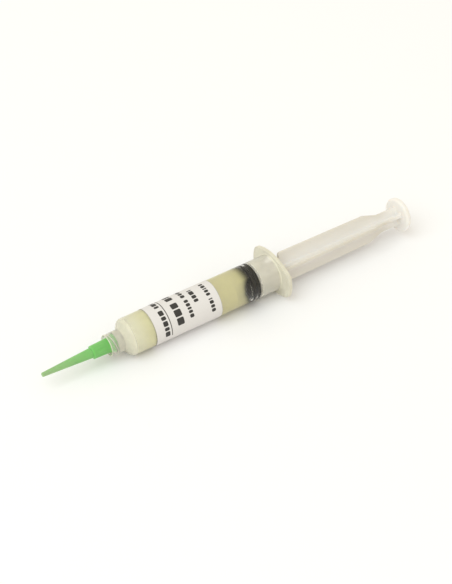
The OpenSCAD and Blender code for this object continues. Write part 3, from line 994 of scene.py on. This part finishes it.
def make_stopper():
    """Closed profile of the stopper: nose, two seal ribs, and the undercut socket of the rod's head.

    Its corners hold the station, the radius, the fillet, and 1 on the crests of the ribs, where the
    rubber's painted sheen lies.
    """
    neck_r, head_r = HEAD_NECK_R + HEAD_GAP, HEAD_R + HEAD_GAP
    neck_x = STOPPER_X - HEAD_NECK_LEN + HEAD_GAP
    corners = [
        (NOSE_X, 0.5, 0, 0),
        (NOSE_X, NOSE_FLAT_R, 0.6, 0),
        (RIB_X, NOSE_R, 0.12, 0),
        (RIB_X, RIB_R, RIB_EASE, 0),
        (RIB_X + 0.55, RIB_R, 0, 0),
        (RIB_X + 0.75, RIB_R, 0, 1),
        (RIB_X + RIB_W - 0.3, RIB_R, 0, 1),
        (RIB_X + RIB_W, RIB_R, 0.2, 0),
        (RIB_X + RIB_W + 0.05, GROOVE_R, 0.15, 0),
        (STOPPER_X - RIB_W - 0.05, GROOVE_R, 0.15, 0),
        (STOPPER_X - RIB_W, RIB_R, 0.2, 0.3),
        (STOPPER_X - RIB_W + 0.45, RIB_R, 0, 1),
        (STOPPER_X - 0.75, RIB_R, 0, 1),
        (STOPPER_X - 0.5, RIB_R, 0, 0),
        (STOPPER_X, RIB_R, 0.3, 0),
        (STOPPER_X, neck_r, 0.1, 0),
        (neck_x, neck_r, 0.08, 0),
        (neck_x, head_r, 0.1, 0),
        (HEAD_X + HEAD_LEN / 2, head_r, 0.1, 0),
        (HEAD_X - HEAD_GAP, neck_r, 0.1, 0),
        (HEAD_X - HEAD_GAP, 0.5, 0, 0),
    ]
    path = fillet_path(corners, closed=False)
    body = skin(about_axis(path[:, :1], path[:, 1:2], ring_angles(SMALL_RING)), values=path[:, 3:4])
    rubber = stopper_rubber()
    make_piece("rubber_stopper", [body], rubber, "plunger", "stopper_rubber", ["stopper"], "crest")


# Plunger rod

def web_at(x):
    """Half width of the webs at a station, tapering evenly from the backing disc to the neck's taper."""
    return BORE_R - WEB_GAP - ROD_DRAFT / 2 * (x - STOPPER_X) / (WIDE_END_X - STOPPER_X)


def cross_section(a, b, h):
    """Outline of two crossed webs of half widths a and b and half thickness h, arrays over the stations.

    One quadrant runs round the tip of the first web, into the root between the webs, and up to the
    tip of the second. The other quadrants are this one turned by quarter turns, a and b changing places.
    """
    turn = np.linspace(0, math.pi / 2, OUTLINE_STEPS)
    tip_y, tip_z = WEB_TIP_ROUND * np.cos(turn), WEB_TIP_ROUND * np.sin(turn)
    root_y, root_z = WEB_ROOT_ROUND * np.sin(turn), WEB_ROOT_ROUND * np.cos(turn)
    a, b, h = (np.asarray(v)[:, None] for v in (a, b, h))
    tip, root = h - WEB_TIP_ROUND, h + WEB_ROOT_ROUND
    rows = []
    for k in range(4):
        p, q = (a, b) if k % 2 == 0 else (b, a)
        y = np.hstack([p - WEB_TIP_ROUND + tip_y, root - root_y, tip + tip_y])
        z = np.hstack([tip + tip_z, root - root_z, q - WEB_TIP_ROUND + tip_z])
        for _ in range(k):
            y, z = -z, y
        rows.append((y, z))
    return np.hstack([y for y, _ in rows]), np.hstack([z for _, z in rows])


def ring_rows(corners):
    """Turned rows before or behind the webs, with as many points in a quadrant as the webs' outline has."""
    path = fillet_path(corners, closed=False, steps=9)
    quadrant = np.radians(np.linspace(2, 88, 3 * OUTLINE_STEPS))
    phi = np.concatenate([quadrant + k * math.pi / 2 for k in range(4)]) + ROD_TURN
    return about_axis(path[:, :1], path[:, 1:2], phi)


def webs_rows():
    """The crossed webs as one section carried along the axis and turned by ROD_TURN, and each point's tone.

    The broad web starts narrow behind the stopper, and steps out to the full width with round corners.
    The tone is 0 at the outer edges of the webs, which the material darkens as painted shade, 0.5 on
    their faces, and goes to 1 at the thumb rest.
    """
    start, end = STOPPER_X + BACKING_T, THUMB_X
    full = [(WIDE_END_X, web_at(WIDE_END_X), 4), (NECK_X, NECK_W / 2, 4), (end, NECK_W / 2, 0)]
    broad = fillet_path(
        [
            (start, CUT_BACK_W / 2, 0),
            (CUT_BACK_X, CUT_BACK_W / 2, 0.4),
            (CUT_BACK_X, web_at(CUT_BACK_X), WEB_CORNER),
            *full,
        ],
        closed=False,
        steps=9,
    )
    foot_x = np.linspace(THUMB_X - WEB_FOOT - 0.3, THUMB_X, 8)
    foot = np.column_stack([foot_x, np.full_like(foot_x, NECK_W / 2), np.zeros_like(foot_x)])
    broad = np.vstack([broad[broad[:, 0] < foot_x[0]], foot])
    deep = fillet_path([(start, web_at(start), 0), *full], closed=False, steps=9)
    x, a = broad[:, 0], broad[:, 1]
    b = np.interp(x, deep[:, 0], deep[:, 1])
    h = WEB_T / 2 + WEB_FOOT * smooth((x - (THUMB_X - WEB_FOOT)) / WEB_FOOT) ** 2
    y, z = cross_section(a, b, h)
    # thin: share of a point on the webs' outer band, which the material darkens as painted shade
    thin = smooth((np.hypot(y, z) - np.minimum(a, b)[:, None] + WEB_SHADE_BAND) / WEB_SHADE_FADE)
    thick = smooth((x - THUMB_X) / TONE_REACH + 1)[:, None]
    tone = 0.5 - thin / 2 + (0.5 + thin / 2) * thick
    c, s = math.cos(ROD_TURN), math.sin(ROD_TURN)
    points = np.stack([np.broadcast_to(x[:, None], y.shape), c * y - s * z, s * y + c * z], -1)
    return points, tone


def make_rod():
    """Snap head, backing disc, crossed webs and thumb rest in one closed surface."""
    front = [
        (HEAD_X, 0.5, 0),
        (HEAD_X, HEAD_NECK_R, 0.1),
        (HEAD_X + HEAD_LEN / 2, HEAD_R, 0.1),
        (STOPPER_X - HEAD_NECK_LEN, HEAD_R, 0.1),
        (STOPPER_X - HEAD_NECK_LEN, HEAD_NECK_R, 0.1),
        (STOPPER_X, HEAD_NECK_R, 0),
        (STOPPER_X, BACKING_R, 0.25),
        (STOPPER_X + BACKING_T, BACKING_R, 0.25),
        (STOPPER_X + BACKING_T, BACKING_R - 0.5, 0),
    ]
    thumb = [
        (THUMB_X, THUMB_R - 1.5, 0),
        (THUMB_X, THUMB_R, 1.0),
        (THUMB_END_X, THUMB_R, 1.1),
        (THUMB_END_X, 0.5, 0),
    ]
    webs, webs_tone = webs_rows()
    front_rows, thumb_rows = ring_rows(front), ring_rows(thumb)
    tone = np.vstack([np.full(front_rows.shape[:2], 0.5), webs_tone, np.ones(thumb_rows.shape[:2])])
    moulding = skin(np.vstack([front_rows, webs, thumb_rows]), values=tone)
    material = rod_plastic()
    make_piece("plunger_moulding", [moulding], material, "plunger", "rod_plastic", ["plunger_rod"], "tone")


# Dispensing tip

def lug_outline(phi):
    """Radius of the hub's two lugs: a disc of radius LUG_R cut to a band of width LUG_W."""
    band = LUG_W / 2 / np.maximum(np.abs(np.cos(phi)), 0.01)
    return np.clip(band, HUB_REAR_R, LUG_R)


def make_tip():
    """Closed profile of the tip, turned about the axis.

    Its corners hold the station, the radius, the fillet and the share of the lugs' reach. The flutes are
    shallow hollows round the hub, and the lugs stand out at its rear.
    """
    def luer(x):
        """Radius of the socket, which fits the male cone, at a station."""
        return LUER_END_R + LUER_SLOPE * (x - LUER_X) + SOCKET_GAP

    def hub(x):
        """Radius of the hub at a station."""
        return HUB_FRONT_R + (HUB_REAR_R - HUB_FRONT_R) * (x - HUB_X) / (HUB_REAR_X - HUB_X)

    socket_x = HUB_X + HUB_WALL
    side = [(x, hub(x), 0, 0) for x in np.linspace(FLUTE_X0 - 0.1, FLUTE_X1 + 0.1, 22)]
    corners = [
        (0, OUTLET_R, 0.06, 0),
        (0, CONE_END_R, 0.18, 0),
        (HUB_X, CONE_ROOT_R, 0.3, 0),
        (HUB_X, HUB_FRONT_R, 0.3, 0),
        *side,
        (HUB_REAR_X - LUG_T, hub(HUB_REAR_X - LUG_T), 0, 0),
        (HUB_REAR_X - LUG_T, HUB_REAR_R, 0, 1),
        (HUB_REAR_X, HUB_REAR_R, 0.1, 1),
        (HUB_REAR_X, luer(HUB_REAR_X), 0.15, 0),
        (socket_x, luer(socket_x), 0.1, 0),
        (socket_x, CONE_ROOT_BORE_R, 0.1, 0),
        (OUTLET_LAND, OUTLET_R, 0, 0),
    ]
    path = fillet_path(corners)
    phi = ring_angles(SMALL_RING)
    x, r, lug = path[:, :1], path[:, 1:2], path[:, 3:4]
    step = 2 * math.pi / HUB_FLUTES
    away = np.abs((phi + step / 2) % step - step / 2) / FLUTE_HALF
    along = smooth((x - FLUTE_X0) / FLUTE_FADE) * smooth((FLUTE_X1 - x) / FLUTE_FADE)
    outside = r > HUB_FRONT_R - 0.01
    flute = FLUTE_DEPTH * along * outside * np.clip(1 - away**2, 0, 1)
    r = r + lug * (lug_outline(phi) - HUB_REAR_R) - flute
    # The colour changes where the hub leaves the collar, with painted light inside it, and again in front
    # of the hub
    zone = (smooth((COLLAR_X + 0.3 - x) / 0.6) + smooth((HUB_X + 0.3 - x) / 3)) / 2
    body = skin(about_axis(x, r, phi), rows_close=True, values=zone)
    make_piece("tip_moulding", [body], tip_plastic(), "tip", "tip_plastic", ["dispensing_tip"], "zone")


make_camera()
make_light()
make_floor()
make_barrel()
make_label()
make_print()
make_flux()
make_bubbles()
make_stopper()
make_rod()
make_tip()
